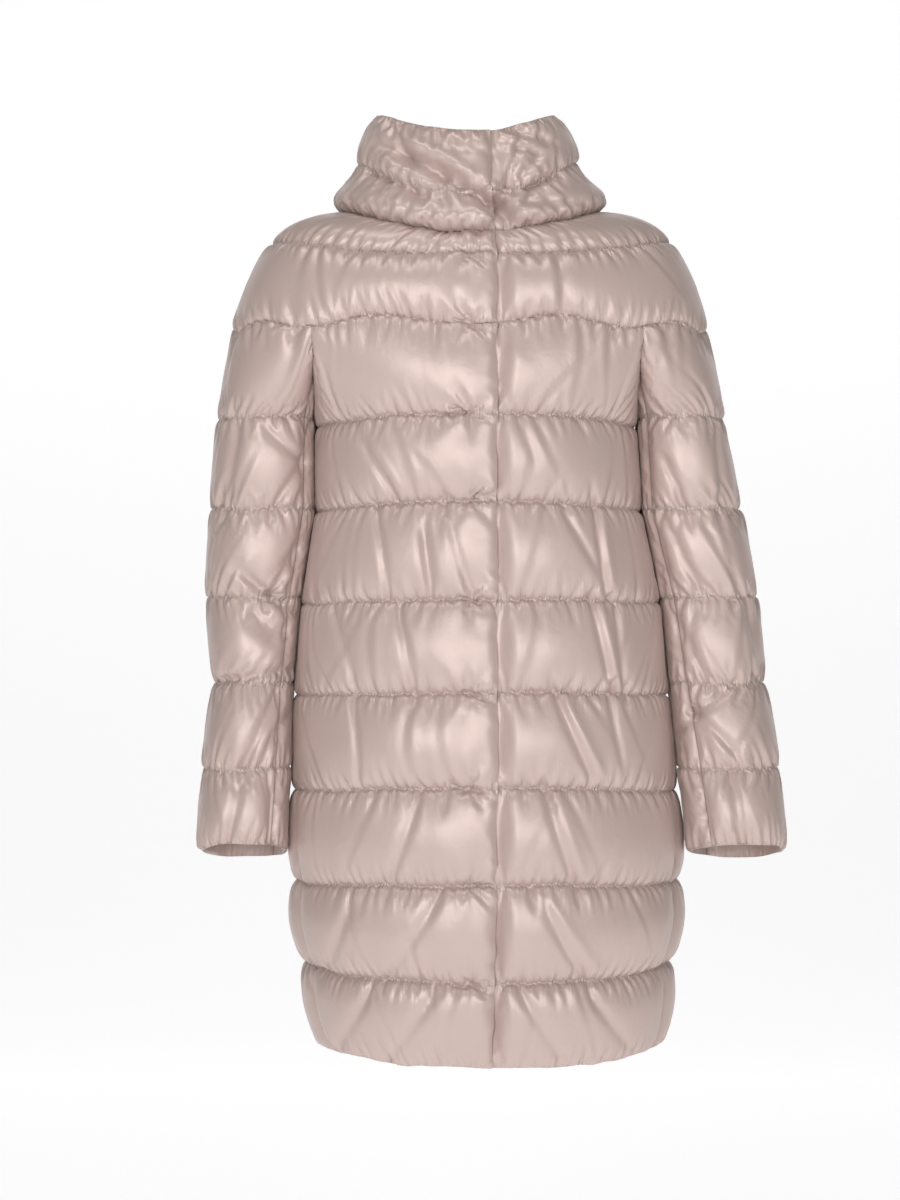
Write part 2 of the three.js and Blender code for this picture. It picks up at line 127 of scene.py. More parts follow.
# ---------------------------------------------------------------- cloth
CELL = 3.4  # size of a cell of the cloth
ROUNDS = 170
GATHER = 0.12  # spare cloth along a quilting line, as a share of the line's length
SPARE_REACH = 18  # how far from the line it is taken up
SLACK = 0.012  # spare cloth everywhere, also as a share of the length
SLACK_DOWN = 1.01  # lengths from line to line, as a share of those of the grid
PRESSURE = 0.03  # how far the down pushes the cloth out in each round of the relaxing
TETHER = 0.004  # how much of its way from home the cloth goes back in each round
MOST_MOVE = 8.0
STIFFNESS = {"straight": 1.0, "diagonal": 0.35, "bend": 0.12}
INNER_PUFF = 3.0  # how far the inner wall bulges towards the wearer
DIP_REACH = 9  # how far from a side seam the padding grows to its full height
NOT_NEAR = 99.0
LINE_WAVES = ((1.7, 60), (0.6, 17))  # height and length of the waves in a quilting line
LOOSE_WAVES = 1.6  # the hem and rim wave so much more
SLEEVE_WAVES = (1.6, 35)
END_FADE = 6  # how soon waves grow from nothing at a ring's end
EDGE_ROUND = 13  # how far from a free edge the padding rounds off
STRAY_EVERY = 55  # one long fold for each such length of a baffle
CREASE_WAVES = (5.2, 11)  # lengths of the small creases' waves, fine and coarse
STAR_X = -5  # where the flap is caught underneath, at each quilting line
STAR_CORE = 9  # how far the cloth is pulled in round such a point
STAR_BEAM = 4.4  # height of the creases that run to it
RUFFLE_REACH = 9  # how far the waves of the flap's edge reach into it


def lerp(a, b, t):
    return a + (b - a) * t


def smoothstep(x, a, b):
    t = np.clip((x - a) / (b - a), 0, 1)
    return t * t * (3 - 2 * t)


def power(v, exponent):
    return np.sign(v) * np.abs(v) ** exponent


def unit(v):
    return v / np.maximum(np.linalg.norm(v, axis=-1, keepdims=True), 1e-9)


def stack(x, y, z):
    return np.stack(np.broadcast_arrays(x, y, z), -1).astype(float)


def ripple(x, wavelength, seed):
    """Smooth random waves between -1 and 1 along x."""
    size = 1024
    table = np.random.default_rng(seed).uniform(-1, 1, size)
    k = np.asarray(x) / wavelength + 500
    i = np.floor(k).astype(int)
    return lerp(table[i % size], table[(i + 1) % size], smoothstep(k - i, 0, 1))


def section(sine, cosine, roundness):
    x = power(sine, 2 / roundness)
    y = power(cosine, 2 / roundness)
    return x, y, power(x, roundness - 1), power(y, roundness - 1)


def ring_at(name, angle, foot_lift=None):
    """Points of a ring, and the ways its cloth faces, at angles from the middle of the front towards +X."""
    ring = RINGS[name]
    angle = np.asarray(angle, float)
    sine, cosine = np.sin(angle), np.cos(angle)
    front = cosine > 0
    depth = np.where(front, ring["front"], ring["back"])
    x, y, nx, ny = section(sine, cosine, BODY_ROUNDNESS)
    z = lerp(np.where(front, ring["z_front"], ring["z_back"]), ring["z_side"], sine**2)
    if name == "line2":
        z = z - WAVE_HEIGHT * np.cos(np.arcsin(np.minimum(1, np.abs(sine))) / WAVE_TURN * 2 * np.pi)
    seed = list(RINGS).index(name)
    around = (angle % (2 * np.pi)) * ring["half"]
    ends = np.minimum(1, np.abs(np.sin(angle / 2)) * END_FADE)
    waves = LOOSE_WAVES if name in ("hem", "rim") else 1.0
    for k, (height, length) in enumerate(LINE_WAVES):
        z = z + ends * waves * height * ripple(around, length, seed + 50 * k)
    degrees = lerp(ring["lift_front"], ring["lift_side"], sine**2) if foot_lift is None else foot_lift
    lift = np.broadcast_to(np.radians(degrees), sine.shape)
    normal = unit(stack(nx / ring["half"], -ny / depth, 0)) * np.cos(lift)[..., None]
    normal[..., 2] = np.sin(lift)
    return stack(ring["centre"] + ring["half"] * x, -depth * y, z), normal


def angle_at(name, x):
    ring = RINGS[name]
    return np.arcsin(power((x - ring["centre"]) / ring["half"], BODY_ROUNDNESS / 2))


def armhole_at(side_name, degrees, on_sleeve):
    hole = ARMHOLES[side_name]
    turn = np.radians(degrees)
    sine, cosine = np.sin(turn), np.cos(turn)
    top_angle = angle_at("line2", hole["front"])
    (p0, n0), (p1, n1) = ring_at("line2", top_angle), ring_at("line2", np.pi - top_angle)
    first = (cosine > 0)[..., None]
    end_p, end_n = np.where(first, p0, p1), np.where(first, n0, n1)
    x = lerp(end_p[..., 0], hole["under"], sine) + hole["side"] * on_sleeve * ARMHOLE_GAP / 2
    y = lerp(p0[1], p1[1], (1 - cosine) / 2)
    z = end_p[..., 2] - hole["drop"] * np.abs(sine) ** ARMHOLE_CURVE
    normal = end_n * np.abs(cosine)[..., None]
    normal[..., 0] -= hole["side"] * on_sleeve * sine
    return stack(x, y, z), unit(normal)


def sleeve_at(side_name, index, angle):
    ring = dict(zip(SLEEVE_COLUMNS, SLEEVES[side_name][index]))
    side = ARMHOLES[side_name]["side"]
    half_width = abs(ring["outer"] - ring["inner"]) / 2
    half_depth = (ring["back"] - ring["front"]) / 2
    x, y, nx, ny = section(np.cos(angle), np.sin(angle), SLEEVE_ROUNDNESS)
    tilt = CUFF_TILT if index == len(SLEEVES[side_name]) - 1 else 0
    wave_height, wave_length = SLEEVE_WAVES
    around = (angle % (2 * np.pi)) * 60  # 60 mm is about the sleeve's radius
    wobble = wave_height * ripple(around, wave_length, 70 + index + 10 * side)
    wobble = wobble * np.minimum(1, np.abs(np.sin(angle / 2)) * END_FADE)
    point = stack(
        (ring["inner"] + ring["outer"]) / 2 + side * half_width * x,
        (ring["front"] + ring["back"]) / 2 - half_depth * y,
        ring["z"] + tilt * half_depth * y + wobble,
    )
    return point, unit(stack(side * nx / half_width, -ny / half_depth, 0))


def run(seam, stops):
    return [(seam, a, b) for a, b in zip(stops, stops[1:])]


def line_run(start, end, steps):
    return run(lambda angle: ring_at("line2", angle), np.linspace(start, end, steps + 1))


def armhole_run(side_name, stops, on_sleeve):
    return run(lambda degrees: armhole_at(side_name, degrees, on_sleeve), stops)


def along(steps):
    """A seam made of steps, as a function of shares of its width."""

    def seam(shares):
        place = np.asarray(shares) * len(steps)
        index = np.minimum(place.astype(int), len(steps) - 1)
        points, normals = np.zeros(place.shape + (3,)), np.zeros(place.shape + (3,))
        for i, (function, start, end) in enumerate(steps):
            here = index == i
            if here.any():
                points[here], normals[here] = function(lerp(start, end, place[here] - i))
        return points, normals

    return seam


def fullness(share, skew):
    q = np.clip(share, 0, 1) ** skew
    return (4 * q * (1 - q)) ** PLUMPNESS


def body_puff(name, angle):
    front, side, back, _ = BAFFLES[name]
    return lerp(np.where(np.cos(angle) > 0, front, back), side, np.sin(angle) ** 2)


def rounding(from_edge):
    """How full the padding is beside a free edge, as a share: a quarter of a circle."""
    return np.sqrt(np.clip(1 - (1 - np.minimum(from_edge, EDGE_ROUND) / EDGE_ROUND) ** 2, 0, 1))


def rise(x):
    """How far the right front is lifted over the left beside the flap."""
    return smoothstep(x, OVERLAP_RAMP_X, PLACKET_SEAM_X) * (FLAP_LIFT + WALL)


def opening_factor(side_name, x):
    """How full the padding is beside the opening, as a share."""
    if side_name == "left":
        return lerp(0, 1, smoothstep(x, 23, 42))
    return lerp(0.6, 1, smoothstep(-x, 6, 46))


# ---------------------------------------------------------------- a panel as a grid of points
class Sheet:
    """Grids of points of a panel: rows from its top to its foot, columns across its width.

    lines are its seams from top to foot, each a function of shares of the width; puff(i, shares) is the puff
    of baffle i; lift(shares) moves the wall out; dips are how deep its two side seams sink, as a share."""

    def __init__(self, lines, steps, puff, skews, lift=None, dips=(0, 0), counts=None):
        probe = np.linspace(0, 1, steps * 8 + 1)
        widths = [np.linalg.norm(np.diff(line(probe)[0], axis=0), axis=1).sum() for line in lines]
        columns = steps * max(1, int(np.ceil(max(widths) / steps / CELL)))
        shares = np.linspace(0, 1, columns + 1)
        self.width = float(np.mean(widths))
        lifts = lift(shares) if lift else np.zeros_like(shares)
        from_ends = np.stack([shares, 1 - shares]) * self.width
        dip = 1 - sum(d * np.exp(-((e / DIP_REACH) ** 2)) for d, e in zip(dips, from_ends))
        outer, inner, normal, seam, rest, pinned, starts = [], [], [], [], [], [], []
        self.counts = []
        for i in range(len(lines) - 1):
            (pa, na), (pb, nb) = lines[i](shares), lines[i + 1](shares)
            height = np.linalg.norm(pb - pa, axis=1)
            puffs = puff(i, shares) * dip
            arc = np.median(height) + 0.8 * np.median(puffs)
            count = counts[i] if counts else max(4, int(np.ceil(arc / CELL)))
            self.counts.append(count)
            t = np.linspace(0, 1, count + 1)
            v = t - np.sin(2 * np.pi * t) / (4 * np.pi)  # rows crowd towards the quilting lines
            spacing_a = np.linalg.norm(np.diff(pa, axis=0), axis=1)
            spacing_b = np.linalg.norm(np.diff(pb, axis=0), axis=1)
            starts.append(len(outer))
            last_baffle = i == len(lines) - 2
            for k, share in enumerate(v if last_baffle else v[:-1]):
                way = unit(lerp(na, nb, share))
                flat = lerp(pa, pb, share) + way * lifts[:, None]
                full = fullness(share, skews[i])
                outer.append(flat + way * (puffs * full)[:, None])
                inner.append(flat - way * (WALL + INNER_PUFF * full * dip)[:, None])
                normal.append(way)
                seam.append(np.minimum(share, 1 - share) * height)
                rest.append(lerp(spacing_a, spacing_b, share))
                pinned.append(k == 0 or k == count)
        starts.append(len(outer) - 1)
        self.outer, self.inner, self.normal = np.array(outer), np.array(inner), np.array(normal)
        self.seam, self.cut_width = np.array(seam), np.array(rest)
        self.free = np.ones(self.seam.shape)
        self.free[np.array(pinned)] = 0
        self.free[:, [0, -1]] = 0
        self.starts = starts
        self.measure()
        self.along = np.broadcast_to(shares * self.width, self.seam.shape).copy()
        from_side = np.where(np.array(dips)[:, None] > 0, from_ends, NOT_NEAR).min(axis=0)
        self.side = np.broadcast_to(from_side, self.seam.shape).copy()

    def measure(self):
        """Takes the widths between the grid's columns as it now lies."""
        self.grid_width = np.linalg.norm(np.diff(self.outer, axis=1), axis=-1)

    def move(self, way, share=1.0):
        """Moves the outer wall by way, and the inner by a share of it."""
        self.outer = self.outer + way
        self.inner = self.inner + share * way

    def joined(self, other):
        """This sheet with the other sewn on after its last column."""
        made = object.__new__(Sheet)
        for name in ("outer", "inner", "normal", "seam", "free", "along", "side"):
            mine, its = getattr(self, name), getattr(other, name)
            if name == "along":
                its = its + self.width
            setattr(made, name, np.concatenate([mine, its[:, 1:]], axis=1))
        for name in ("cut_width", "grid_width"):
            setattr(made, name, np.concatenate([getattr(self, name), getattr(other, name)], axis=1))
        joint = self.outer.shape[1] - 1
        made.free[:, joint] = self.free[:, joint - 1]
        made.starts = self.starts
        made.width = self.width + other.width
        made.joint = joint
        return made


def grid_normals(points, like):
    across = np.gradient(points, axis=1)
    down = np.gradient(points, axis=0)
    normal = unit(np.cross(across, down))
    return normal * np.where((normal * like).sum(-1, keepdims=True).mean() < 0, -1, 1)


def part_of(axis, first, last, step):
    """Indices of some rows (axis 0) or some columns (axis 1) of a grid."""
    part = slice(first, last, step)
    return (part, slice(None)) if axis == 0 else (slice(None), part)


def cloth_links(sheet, gather):
    """The lengths a sheet keeps: pairs of parts of its grid, their distances, how firmly they keep them, and
    whether they only push apart. No point is twice in one link, so that a link can be moved at one go."""
    start = sheet.outer
    rows, cols = sheet.free.shape
    spare = gather * np.exp(-((sheet.seam[:, 1:] / SPARE_REACH) ** 2)) + SLACK
    rest_u = np.maximum(sheet.cut_width, sheet.grid_width) * (1 + spare)
    rest_v = np.linalg.norm(np.diff(start, axis=0), axis=-1) * SLACK_DOWN
    links = []

    def link(a, b, rest, kind):
        links.append((a, b, rest.astype(np.float32), STIFFNESS[kind], kind == "bend"))

    for parity in (0, 1):
        for axis, rest in ((1, rest_u), (0, rest_v)):
            n = ((rows, cols)[axis] - parity) // 2 * 2 + parity
            near, far = part_of(axis, parity, n, 2), part_of(axis, parity + 1, n, 2)
            link(near, far, rest[part_of(axis, parity, n - 1, 2)], "straight")
    # Both diagonals of each cell keep it from shearing, by rows taken in turn.
    for da, db in (((0, 0), (1, 1)), ((0, 1), (1, 0))):
        e_u = start[:-1, 1:] - start[:-1, :-1]
        e_v = start[1:, :-1] - start[:-1, :-1]
        sign = 1 if da == (0, 0) else -1
        cosine = (unit(e_u) * unit(e_v)).sum(-1)
        ru, rv = rest_u[:-1], rest_v[:, :-1]
        diagonal = np.sqrt(np.maximum(ru**2 + rv**2 + sign * 2 * ru * rv * cosine, 1e-6))
        for parity in (0, 1):
            a = (slice(parity + da[0], rows - 1 + da[0], 2), slice(da[1], cols - 1 + da[1]))
            b = (slice(parity + db[0], rows - 1 + db[0], 2), slice(db[1], cols - 1 + db[1]))
            link(a, b, diagonal[parity::2], "diagonal")
    # Points two cells apart push each other off, so that the cloth doesn't fold sharply.
    for offset in range(4):
        for axis, rest in ((0, rest_v), (1, rest_u)):
            count = len(range(offset, (rows, cols)[axis] - 2, 4))
            if count:
                end = offset + (count - 1) * 4 + 1
                near, far = part_of(axis, offset, end, 4), part_of(axis, offset + 2, end + 2, 4)
                link(near, far, rest[near] + rest[part_of(axis, offset + 1, end + 1, 4)], "bend")
    return links


def relax(sheet, gather=GATHER, pressure=PRESSURE):
    """Relaxes a sheet as cloth: it keeps its own lengths, is held along its stitching and is pushed out."""
    x = np.ascontiguousarray(np.moveaxis(sheet.outer, -1, 0)).astype(np.float32)
    home = x.copy()
    w = sheet.free.astype(np.float32)
    links = cloth_links(sheet, gather)
    for _ in range(ROUNDS):
        normal = grid_normals(np.moveaxis(x, 0, -1), sheet.normal)
        x += (pressure * w) * np.moveaxis(normal, -1, 0).astype(np.float32)
        x += TETHER * w * (home - x)
        for a, b, rest, stiff, pushes in links:
            pa, pb = x[(slice(None),) + a], x[(slice(None),) + b]
            wa, wb = w[a], w[b]
            d = pb - pa
            length = np.sqrt((d * d).sum(0)) + 1e-6
            off = (length - rest) / length
            if pushes:
                off = np.minimum(off, 0)
            off *= stiff / np.maximum(wa + wb, 1e-6)
            move = d * off
            x[(slice(None),) + a] = pa + move * wa
            x[(slice(None),) + b] = pb - move * wb
    moved = np.moveaxis(x - home, 0, -1).astype(float)
    far = np.linalg.norm(moved, axis=-1, keepdims=True)
    sheet.outer = sheet.outer + moved * np.minimum(1, MOST_MOVE / np.maximum(far, 1e-6))


def crease(sheet, seed, slant=0.45, height=1.7, length=20, centre=None, edges=(0, 0)):
    """Starts the small creases that stand on each side of a quilting line and lean away from the middle,
    and those across the side seams; edges is how high these stand at each side."""
    u = sheet.along
    middle = sheet.width / 2 if centre is None else centre
    out = np.clip((u - middle) / 40, -1, 1)
    total = np.zeros_like(u)
    for i, (a, b) in enumerate(zip(sheet.starts, sheet.starts[1:])):
        rows = slice(a, b + 1)
        d_top = np.linalg.norm(sheet.outer[rows] - sheet.outer[a], axis=-1)
        d_foot = np.linalg.norm(sheet.outer[rows] - sheet.outer[b], axis=-1)
        for side, d in ((0, d_top), (1, d_foot)):
            key = seed * 100 + i * 4 + side * 2
            lean = slant * out[rows] + 0.3 * ripple(u[rows], 60, key + 900)
            at = u[rows] - lean * d
            # Creases hang shorter below a line than they stand above the next.
            reach = length * (0.75 + 0.7 * ripple(at, 15, key + 1900)) * (0.8 if side == 0 else 1.1)
            waves = ripple(at, CREASE_WAVES[0], key) + 0.5 * ripple(at, CREASE_WAVES[1], key + 1)
            total[rows] += height * waves * np.exp(-((d / reach) ** 2)) * np.minimum(1, d / 3)
        total[rows] += strays(u[rows], d_top, d_foot, out[rows], seed * 100 + i)
    steps = np.linalg.norm(np.diff(sheet.outer[:, 0], axis=0), axis=-1)
    down = np.concatenate([[0], np.cumsum(steps)])[:, None]
    for side, (size, d) in enumerate(zip(edges, (u, sheet.width - u))):
        waves = ripple(down + 0.6 * d, 8, seed * 100 + 5000 + side)
        reach = 15 * (1 + 0.6 * ripple(down, 20, seed * 100 + 5010 + side))
        total += size * waves * np.exp(-((d / reach) ** 2)) * np.minimum(1, d / 7)
    sheet.outer = sheet.outer + sheet.normal * (total * sheet.free)[..., None]


def strays(u, d_top, d_foot, out, seed):
    """The few long folds that run right into a baffle from one of its lines: a ridge beside a trough."""
    chance = np.random.default_rng(seed + 7000)
    total = np.zeros_like(u)
    span = np.median(d_foot[0])
    for _ in range(max(1, int(np.ptp(u) / STRAY_EVERY))):
        place = chance.uniform(u.min(), u.max())
        d = d_top if chance.random() < 0.5 else d_foot
        reach = span * chance.uniform(0.5, 1.0)
        lean = chance.uniform(0.0, 0.5)
        bend = chance.uniform(-0.004, 0.004)
        size = chance.uniform(1.0, 2.4)
        off = u - place - lean * out * d - bend * d * d
        fade = np.exp(-((d / reach) ** 4)) * np.minimum(1, d / 4)
        total += size * fade * (np.exp(-((off / 3.5) ** 2)) - 0.8 * np.exp(-(((off - 7) / 4.5) ** 2)))
    return total


# Folds pressed in as seen from the front or back: both ends, width and height; troughs are negative.
FOLD_COLUMNS = ("x0", "z0", "x1", "z1", "width", "height")
COLLAR_FOLDS = (
    (-72, 58, 22, 4, 7, -6.5),
    (-60, 66, 26, 18, 7, 4),
    (-104, 42, -62, 20, 5, -3.5),
    (-34, 40, 8, 30, 4, -3),
    (-96, 72, -44, 50, 5, -3),
    (-20, 66, 14, 58, 4, -2.5),
    (26, 12, 74, 36, 4.5, -4.5),
    (26, 18, 62, 54, 4.5, -3.5),
    (26, 8, 98, 12, 4.5, -3.5),
    (32, 26, 46, 72, 4, -3),
    (28, 90, 74, 76, 5, -4),
    (28, 70, 60, 64, 4, -3),
    (-90, 92, -70, 60, 5, -3),
)
FRONT_FOLDS = (
    (120, -304, 133, -390, 3.5, -2.6),
    (127, -308, 139, -386, 3.5, 2),
    (118, -404, 138, -484, 3.5, -2.8),
    (141, -404, 150, -484, 3.5, -2.4),
    (129, -408, 144, -482, 4, 2.2),
    (83, -498, 112, -566, 4.5, -3),
    (90, -500, 121, -560, 4, 2.2),
    (135, -500, 146, -552, 3.5, -2.2),
    (88, -304, 118, -356, 3.5, -1.8),
    (40, -206, 58, -250, 4, -1.6),
    (-30, -306, -13, -368, 3.5, -2),
    (-51, -330, -46, -372, 6, -2.6),
    (-109, -246, -82, -290, 4, -2.6),
    (-101, -244, -75, -286, 4, 1.8),
    (-99, -312, -88, -390, 3.5, -2.2),
    (-52, -338, -45, -384, 4, -2),
    (-146, -402, -119, -490, 5, -2),
    (-78, -404, -61, -492, 4, -2.2),
    (-123, -500, -118, -568, 4, -2),
    (70, -594, 96, -676, 5, -2.2),
    (80, -594, 108, -672, 5, 1.6),
    (-56, -594, -84, -676, 5, -2),
    (60, -698, 104, -770, 5.5, -2.4),
    (72, -698, 118, -764, 5, 1.8),
    (-40, -700, -84, -772, 5.5, -2.2),
    (-130, -716, -150, -770, 5, -2.4),
    (48, -796, 84, -856, 5.5, -2.4),
    (-44, -796, -84, -856, 5.5, -2.4),
    (-110, -800, -138, -850, 5, -2.6),
    (118, -800, 152, -846, 5, -2.6),
)
SLEEVE_FOLDS = (
    (-182, -262, -206, -300, 5, -3),
    (-182, -250, -210, -226, 5, -2.4),
    (-186, -346, -212, -392, 5, -3),
    (-236, -372, -196, -404, 6, -4.5),
    (-226, -410, -206, -432, 13, -5),
    (-262, -480, -196, -470, 5, -3.4),
    (-204, -494, -232, -556, 6, -3.2),
    (-196, -520, -222, -566, 5, -2.6),
    (-240, -580, -252, -650, 6, -2.6),
    (-212, -590, -206, -648, 5, -2.6),
    (196, -256, 216, -300, 5, -3),
    (204, -330, 232, -392, 5, -2.8),
    (214, -430, 236, -476, 5, -2.6),
    (228, -512, 262, -486, 4.5, -2.8),
    (228, -514, 262, -548, 4.5, -2.8),
    (228, -512, 242, -560, 4.5, -2.2),
    (226, -512, 206, -540, 4, -2.2),
    (262, -580, 276, -652, 6, -2.8),
    (286, -420, 300, -476, 6, -2.4),
    (246, -230, 262, -300, 6, -2.4),
    (-246, -226, -258, -300, 6, -2.4),
)


def fold(sheet, table, face=-1, flip=1, share=1.0):
    """Presses the folds of a table in; face is -1 for the front and 1 for the back, flip mirrors them."""
    shown = smoothstep(face * sheet.normal[..., 1], 0, 0.35)
    for row in table:
        f = dict(zip(FOLD_COLUMNS, row))
        a, b = np.array([flip * f["x0"], f["z0"]]), np.array([flip * f["x1"], f["z1"]])
        flat = sheet.outer[..., (0, 2)] - a
        length = np.linalg.norm(b - a)
        way = (b - a) / length
        t = flat @ way
        off = np.abs(flat @ np.array([-way[1], way[0]]))
        gone = np.maximum(0, np.maximum(-t, t - length)) / (length * 0.25)
        size = share * f["height"] * np.exp(-((off / f["width"]) ** 2) - gone**2) * shown
        sheet.move(sheet.normal * (size * np.minimum(1, sheet.free + 0.25))[..., None], 0.9)
    sheet.measure()


def fold_both(sheet, table, share=1.0):
    """Presses the folds of a table into the front, and their mirror image into the back."""
    fold(sheet, table, share=share)
    fold(sheet, table, face=1, flip=-1, share=share)


def star(sheet, points, reach=30, depth=4.0, rays=8):
    """Pulls the cloth in at points where it is caught underneath, with creases running to them."""
    for k, (px, pz) in enumerate(points):
        dx, dz = sheet.outer[..., 0] - px, sheet.outer[..., 2] - pz
        r = np.hypot(dx, dz)
        turn = np.arctan2(dz, dx)
        beams = ripple(turn + 4, 2 * np.pi / (2.2 * rays), 4000 + k)
        rays_out = STAR_BEAM * beams * np.exp(-((r / reach) ** 2)) * np.minimum(1, r / 5)
        sheet.move(sheet.normal * (rays_out - depth * np.exp(-((r / STAR_CORE) ** 2)))[..., None])


def ruffle(sheet, seed):
    """Makes the flap's free edge, the sheet's first column, slightly wavy."""
    fade = np.exp(-((sheet.along / RUFFLE_REACH) ** 2))
    z = sheet.outer[..., 0:1, 2]
    way = sheet.normal * (1.3 * ripple(z, 8, seed) * fade)[..., None]
    way[..., 0] += 1.1 * ripple(z, 15, seed + 1) * fade
    sheet.move(way)


# ---------------------------------------------------------------- pieces
def make_piece(name, outer, inner, outer_normal, inner_normal, seam, run_mm, side_mm):
    rows, cols = seam.shape
    size = rows * cols
    ids = np.arange(size).reshape(rows, cols)
    o, n = ids, ids + size  # points of the outer and inner walls

    def quads(a, b, c, d):
        return np.stack([a, b, c, d], -1).reshape(-1, 4)

    faces = np.concatenate(
        [
            quads(o[:-1, :-1], o[1:, :-1], o[1:, 1:], o[:-1, 1:]),
            quads(n[:-1, :-1], n[:-1, 1:], n[1:, 1:], n[1:, :-1]),
            quads(o[0, :-1], o[0, 1:], n[0, 1:], n[0, :-1]),
            quads(o[-1, :-1], n[-1, :-1], n[-1, 1:], o[-1, 1:]),
            quads(o[:-1, 0], n[:-1, 0], n[1:, 0], o[1:, 0]),
            quads(o[:-1, -1], o[1:, -1], n[1:, -1], n[:-1, -1]),
        ]
    )
    points = np.concatenate([outer.reshape(-1, 3), inner.reshape(-1, 3)]) / 1000
    a, b, c = (points[faces[:, i]] for i in (0, 1, 2))
    d = points[faces[:, 3]]
    volume = (a * np.cross(b, c)).sum() + (a * np.cross(c, d)).sum()
    if volume < 0:
        faces = faces[:, ::-1]
    normals = np.concatenate([outer_normal.reshape(-1, 3), inner_normal.reshape(-1, 3)])
    mesh = bpy.data.meshes.new(name)
    mesh.from_pydata(points.tolist(), [], faces.tolist())
    mesh.update()
    mesh.polygons.foreach_set("use_smooth", np.ones(len(faces), bool))
    for key, grid in (("seam", seam), ("along", run_mm), ("side", side_mm)):
        layer = mesh.attributes.new(key, "FLOAT", "POINT")
        layer.data.foreach_set("value", np.tile(grid.reshape(-1), 2).astype(np.float32))
    mesh.normals_split_custom_set_from_vertices(unit(normals).tolist())
    mesh.materials.append(cloth)
    piece = bpy.data.objects.new(name, mesh)
    bpy.context.collection.objects.link(piece)
    return piece


def finish_piece(name, sheet, columns=slice(None), above=None):
    """Makes the piece of some of a sheet's columns, with those of the sheet above it where one is given."""
    grids = []
    for part in ([above] if above else []) + [sheet]:
        rows = slice(None) if part is sheet else slice(None, -1)
        facing = (grid_normals(part.outer, part.normal), -grid_normals(part.inner, part.normal))
        layers = (part.outer, part.inner, *facing, part.seam, part.along, part.side)
        grids.append([layer[rows, columns] for layer in layers])
    grids = [np.concatenate(layer, axis=0) for layer in zip(*grids)]
    piece = make_piece(name + "_cloth", *grids)
    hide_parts(name)
    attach(piece, "root")


def front_sheet(side_name):
    side = ARMHOLES[side_name]["side"]
    corner = angle_at("line2", ARMHOLES[side_name]["front"])
    steps = line_run(angle_at("line2", PLACKET_SEAM_X), corner, FRONT_STEPS)
    steps += armhole_run(side_name, ARMHOLE_STOPS[:5], -1)

    def angle(line, shares):
        return lerp(angle_at(line, PLACKET_SEAM_X), side * np.radians(SIDE_SEAM[line]), shares)

    def middle_x(shares):
        return ring_at("line5", angle("line5", shares))[0][..., 0]

    return Sheet(
        [along(steps)] + [lambda s, line=line: ring_at(line, angle(line, s)) for line in BODY_LINES],
        len(steps),
        lambda i, s: body_puff(FRONT_LINES[i], angle("line5", s)) * opening_factor(side_name, middle_x(s)),
        [BAFFLES[n][3] for n in FRONT_LINES[:-1]],
        lift=(lambda s: rise(middle_x(s))) if side_name == "right" else None,
        dips=(0, 0.6),
    )


def flap_sheet(names, beside):
    """The flap, its columns from its free edge to its seam, its rows like those of the sheet beside it."""

    def angle(line, shares):
        return lerp(angle_at(line, RINGS[line]["edge"]), angle_at(line, PLACKET_SEAM_X), shares)

    def puff(i, shares):
        from_edge = shares * (RINGS[names[i]]["edge"] - PLACKET_SEAM_X)
        factor = opening_factor("right", PLACKET_SEAM_X)
        return body_puff(names[i], 0.0) * factor * lerp(0.4, 1, rounding(from_edge))

    return Sheet(
        [lambda s, line=line: ring_at(line, angle(line, s)) for line in names],
        3,
        puff,
        [BAFFLES[n][3] for n in names[:-1]],
        lift=lambda s: np.full_like(s, FLAP_LIFT + WALL),
        counts=beside.counts,
    )


def yoke_front_sheet(side_name):
    side = ARMHOLES[side_name]["side"]
    corner = angle_at("line2", ARMHOLES[side_name]["front"])
    steps = line_run(angle_at("line2", PLACKET_SEAM_X), corner, FRONT_STEPS)
    steps += line_run(corner, side * np.pi / 2, SHOULDER_STEPS)

    def angle(line, shares):
        return lerp(angle_at(line, PLACKET_SEAM_X), side * np.pi / 2, shares)

    def middle_x(shares):
        return ring_at("line1", angle("line1", shares))[0][..., 0]

    return Sheet(
        [lambda s, line=line: ring_at(line, angle(line, s)) for line in YOKE_LINES[:2]] + [along(steps)],
        len(steps),
        lambda i, s: body_puff(YOKE_LINES[i], angle("line1", s)) * opening_factor(side_name, middle_x(s)),
        [BAFFLES[n][3] for n in YOKE_LINES[:-1]],
        lift=(lambda s: rise(middle_x(s))) if side_name == "right" else None,
    )


def shoulder_angle(side_name):
    return np.pi - angle_at("line2", ARMHOLES[side_name]["front"])


def yoke_back_sheet():
    left, right = shoulder_angle("left"), shoulder_angle("right")
    steps = line_run(np.pi / 2, left, SHOULDER_STEPS) + line_run(left, right, 2 * FRONT_STEPS)
    steps += line_run(right, 1.5 * np.pi, SHOULDER_STEPS)

    def angle(shares):
        return lerp(np.pi / 2, 1.5 * np.pi, shares)

    return Sheet(
        [lambda s, line=line: ring_at(line, angle(s)) for line in YOKE_LINES[:2]] + [along(steps)],
        len(steps),
        lambda i, s: body_puff(YOKE_LINES[i], angle(s)),
        [BAFFLES[n][3] for n in YOKE_LINES[:-1]],
    )


